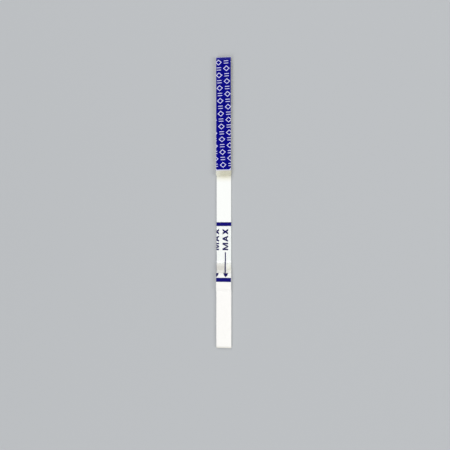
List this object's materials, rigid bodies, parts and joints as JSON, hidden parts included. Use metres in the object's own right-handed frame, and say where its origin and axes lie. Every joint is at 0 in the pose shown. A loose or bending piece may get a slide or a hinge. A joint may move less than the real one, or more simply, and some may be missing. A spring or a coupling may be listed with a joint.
{
  "type": "lateral flow test strip",
  "caption": "Slim layered dip strip on a backing card: sample pad, membrane with a clear limit film, and an absorbent pad under a printed handle film.",
  "frame": {"origin": "middle of the backing card's underside, at the centre of the strip's length and width", "axes": "+X across the strip, +Y along it towards the handle end, +Z out of its printed face"},
  "size_m": [0.0042, 0.08, 0.0014],
  "materials": {
    "card": "satin white plastic card",
    "membrane": "fine-grained, matt, porous",
    "conjugate_pad": "dull fibrous felt, faintly pink",
    "sample_pad": "matt fibrous pad",
    "absorbent_pad": "thick matt fibrous pad, beige",
    "white_film": "smooth glossy film",
    "clear_film": "clear glossy film",
    "handle_ink": "glossy blue print",
    "limit_ink": "dark blue print"
  },
  "bodies": {
    "root": {"backing_card": "card", "membrane": "membrane", "conjugate_pad": "conjugate_pad", "sample_pad": "sample_pad", "absorbent_pad": "absorbent_pad", "handle_tape": "white_film", "limit_tape": "clear_film", "handle_print": "handle_ink", "limit_lines": "limit_ink", "limit_arrows": "limit_ink"}
  },
  "joints": []
}
